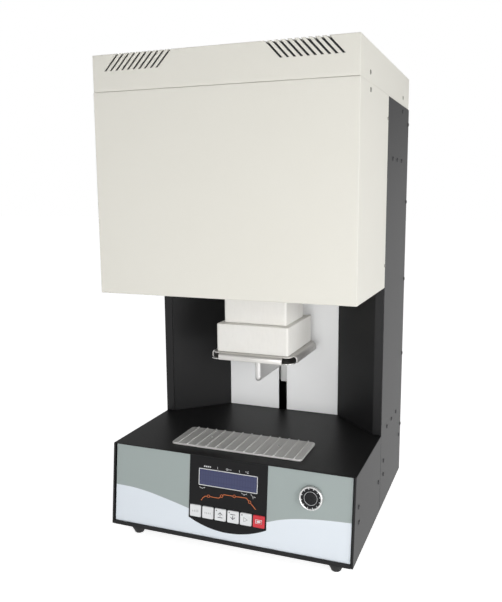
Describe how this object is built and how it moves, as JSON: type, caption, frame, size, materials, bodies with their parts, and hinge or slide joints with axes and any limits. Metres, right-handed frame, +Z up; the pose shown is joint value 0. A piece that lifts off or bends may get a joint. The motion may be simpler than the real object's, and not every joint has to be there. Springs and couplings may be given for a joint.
{
  "type": "dental lab furnace",
  "caption": "Bench-top dental furnace: tall overhanging cream cabinet on a black tower, ceramic hearth on a lift arm above a ribbed cooling plate, sloped front with display, keys and knob.",
  "frame": {"origin": "bench level under the centre of the body", "axes": "+Z up, -Y towards the operator, +X to the operator's right"},
  "size_m": [0.38, 0.368, 0.7149],
  "materials": {
    "cream_paint": "fine-texture powder coat",
    "black_paint": "satin black powder coat",
    "white_paint": "satin white coat",
    "printed_panel": "printed satin panel, grey-green over pale grey",
    "black_film": "matt black keypad film",
    "display_glass": "dark blue liquid crystal display window",
    "green_board": "circuit board",
    "white_key": "satin white",
    "red_key": "satin red",
    "knob_black": "satin black with a bright rim",
    "satin_steel": "brushed",
    "bright_steel": "ground and polished",
    "satin_aluminium": "satin anodised",
    "black_rubber": "matt",
    "white_fibre": "dry vacuum-formed fibre board",
    "dark_ceramic": "oxidised heating element",
    "probe_ceramic": "unglazed tube",
    "copper_brown": "varnished winding and core",
    "black_plastic": "moulded"
  },
  "bodies": {
    "furnace": {"base_shell": "black_paint", "base_pan": "black_paint", "foot_front_left": "black_rubber", "foot_front_right": "black_rubber", "foot_rear_left": "black_rubber", "foot_rear_right": "black_rubber", "fascia": "printed_panel", "keypad_overlay": "black_film", "display_window": "display_glass", "display_module": "black_plastic", "keypad_board": "green_board", "knob_encoder": "satin_steel", "cooling_plate": "satin_aluminium", "tower_side_left": "black_paint", "tower_side_right": "black_paint", "inner_wall_left": "black_paint", "inner_wall_right": "black_paint", "slotted_back_plate": "white_paint", "rear_panel": "black_paint", "cabinet_shell": "cream_paint", "chamber_floor": "satin_steel", "top_cap": "cream_paint", "insulation_mouth": "white_fibre", "insulation_left": "white_fibre", "insulation_right": "white_fibre", "insulation_front": "white_fibre", "insulation_back": "white_fibre", "insulation_roof": "white_fibre", "heating_element_1": "dark_ceramic", "heating_element_2": "dark_ceramic", "heating_element_3": "dark_ceramic", "heating_element_4": "dark_ceramic", "temperature_probe": "probe_ceramic", "lift_base": "satin_steel", "lift_head": "satin_steel", "guide_rod_left": "bright_steel", "guide_rod_right": "bright_steel", "lift_motor": "black_plastic", "transformer": "copper_brown", "power_board": "green_board", "fan_frame": "black_plastic", "power_inlet": "black_plastic"},
    "hearth_lift": {"hearth_lower_block": "white_fibre", "hearth_upper_block": "white_fibre", "lift_plate": "satin_steel", "lift_frame": "satin_steel", "lift_arm": "satin_steel", "lift_carriage": "satin_aluminium"},
    "screw": {"lead_screw": "bright_steel", "screw_coupling": "satin_aluminium"},
    "knob": {"selector_knob": "knob_black"},
    "key_body_1": {"key_1": "white_key"},
    "key_body_2": {"key_2": "white_key"},
    "key_body_3": {"key_3": "white_key"},
    "key_body_4": {"key_4": "white_key"},
    "key_body_5": {"key_5": "white_key"},
    "key_body_6": {"key_6": "red_key"},
    "switch": {"power_switch": "black_plastic"},
    "fan": {"fan_rotor": "black_plastic"}
  },
  "joints": [
    {"name": "hearth_lift_slide", "type": "slide", "parent": "furnace", "child": "hearth_lift", "axis": [0, 0, 1], "range_m": [-0.075, 0.0612]},
    {"name": "lead_screw_spin", "type": "hinge", "parent": "furnace", "child": "screw", "pos_m": [0, 0.1065, 0.1], "axis": [0, 0, 1], "range_deg": [-4412, 5406]},
    {"name": "selector_knob_spin", "type": "hinge", "parent": "furnace", "child": "knob", "pos_m": [0.1278, -0.16948, 0.11037], "axis": [0, -0.9946, 0.1037], "continuous": true},
    {"name": "key_1_press", "type": "slide", "parent": "furnace", "child": "key_body_1", "axis": [0, 0.9946, -0.1037], "range_m": [0, 0.0006], "stiffness_N_per_m": 2500, "springref_m": -0.0002},
    {"name": "key_2_press", "type": "slide", "parent": "furnace", "child": "key_body_2", "axis": [0, 0.9946, -0.1037], "range_m": [0, 0.0006], "stiffness_N_per_m": 2500, "springref_m": -0.0002},
    {"name": "key_3_press", "type": "slide", "parent": "furnace", "child": "key_body_3", "axis": [0, 0.9946, -0.1037], "range_m": [0, 0.0006], "stiffness_N_per_m": 2500, "springref_m": -0.0002},
    {"name": "key_4_press", "type": "slide", "parent": "furnace", "child": "key_body_4", "axis": [0, 0.9946, -0.1037], "range_m": [0, 0.0006], "stiffness_N_per_m": 2500, "springref_m": -0.0002},
    {"name": "key_5_press", "type": "slide", "parent": "furnace", "child": "key_body_5", "axis": [0, 0.9946, -0.1037], "range_m": [0, 0.0006], "stiffness_N_per_m": 2500, "springref_m": -0.0002},
    {"name": "key_6_press", "type": "slide", "parent": "furnace", "child": "key_body_6", "axis": [0, 0.9946, -0.1037], "range_m": [0, 0.0006], "stiffness_N_per_m": 2500, "springref_m": -0.0002},
    {"name": "power_switch_rock", "type": "hinge", "parent": "furnace", "child": "switch", "pos_m": [-0.1013, 0.1738, 0.074], "axis": [1, 0, 0], "range_deg": [-16, 0]},
    {"name": "fan_spin", "type": "hinge", "parent": "furnace", "child": "fan", "pos_m": [0.115, 0.1625, 0.086], "axis": [0, 1, 0], "continuous": true}
  ],
  "couplings": [
    {"joint": "lead_screw_spin", "follows": "hearth_lift_slide", "rad_per_m": -1256.6}
  ]
}
